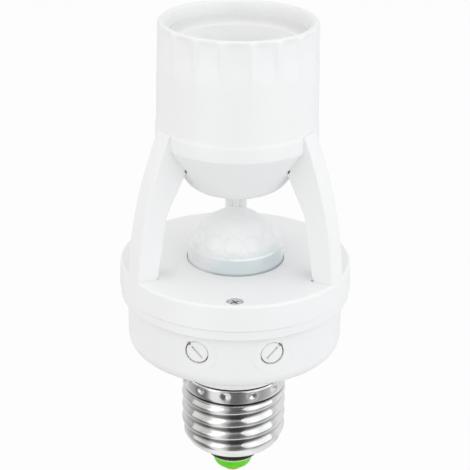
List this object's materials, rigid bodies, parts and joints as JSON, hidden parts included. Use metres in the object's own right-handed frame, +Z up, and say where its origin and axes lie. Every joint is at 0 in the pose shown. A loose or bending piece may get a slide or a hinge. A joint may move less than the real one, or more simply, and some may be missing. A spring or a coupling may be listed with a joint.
{
  "type": "motion sensor lamp holder",
  "caption": "White plug-in lamp holder with a sensor dome between moulded arms, a screw cap below and a lamp socket cup above; two small trimmer knobs turn in the housing's wall.",
  "frame": {"origin": "centre of the end contact's flat face, at the bottom of the screw cap", "axes": "+Z up along the cap's and the socket's common axis, from the end contact to the cup's rim; -Y to the front, where the two trimmer knobs are; +X to the right seen from the front"},
  "size_m": [0.0568, 0.0568, 0.1204],
  "materials": {
    "white_plastic": "white moulded plastic with a soft sheen",
    "knob_plastic": "white plastic, slightly darker than the housing",
    "lens_plastic": "milky plastic that lets some light through",
    "green_plastic": "bright green moulded plastic",
    "black_glass": "dark fused glass, opaque",
    "nickel": "bright nickel plate on rolled sheet",
    "brass": "plain brass",
    "ceramic": "off-white heat-proof moulding",
    "steel": "plain steel",
    "board_green": "green circuit board",
    "part_black": "black moulding",
    "part_blue": "blue moulding",
    "part_red": "red-brown coating",
    "wire_white": "white insulation",
    "wire_blue": "blue insulation"
  },
  "bodies": {
    "holder": {"board_screw_1": "steel", "board_screw_2": "steel", "cap_insulator": "green_plastic", "cap_seal": "black_glass", "circuit_board": "board_green", "contact_wire": "wire_white", "controller_chip": "part_black", "cover_screw_1": "steel", "cover_screw_2": "steel", "cover_screw_3": "steel", "dome_lens": "lens_plastic", "end_contact": "brass", "film_capacitor": "part_red", "lamp_live_wire": "wire_white", "lamp_neutral_wire": "wire_blue", "lens_retainer": "white_plastic", "lower_housing": "white_plastic", "lux_trimmer": "part_blue", "photocell": "part_red", "pir_sensor": "steel", "rectifier_diode_1": "part_black", "rectifier_diode_2": "part_black", "rectifier_diode_3": "part_black", "rectifier_diode_4": "part_black", "relay": "part_blue", "resistor_1": "wire_blue", "resistor_2": "wire_blue", "resistor_3": "wire_blue", "resistor_4": "wire_blue", "screw_shell": "nickel", "sensor_spacer": "white_plastic", "sensor_window": "part_black", "shell_wire": "wire_blue", "smoothing_capacitor": "part_black", "socket_insert": "ceramic", "socket_screw_1": "steel", "socket_screw_2": "steel", "socket_shell": "nickel", "socket_tongue": "brass", "time_trimmer": "part_blue", "upper_body": "white_plastic"},
    "time_dial": {"time_knob": "knob_plastic"},
    "lux_dial": {"lux_knob": "knob_plastic"}
  },
  "joints": [
    {"name": "time_dial_turn", "type": "hinge", "parent": "holder", "child": "time_dial", "pos_m": [-0.0087, -0.02456, 0.0471], "axis": [-0.3338, -0.9426, 0], "range_deg": [-165, 75]},
    {"name": "lux_dial_turn", "type": "hinge", "parent": "holder", "child": "lux_dial", "pos_m": [0.00887, -0.02449, 0.0471], "axis": [0.3404, -0.9403, 0], "range_deg": [-75, 165]}
  ]
}
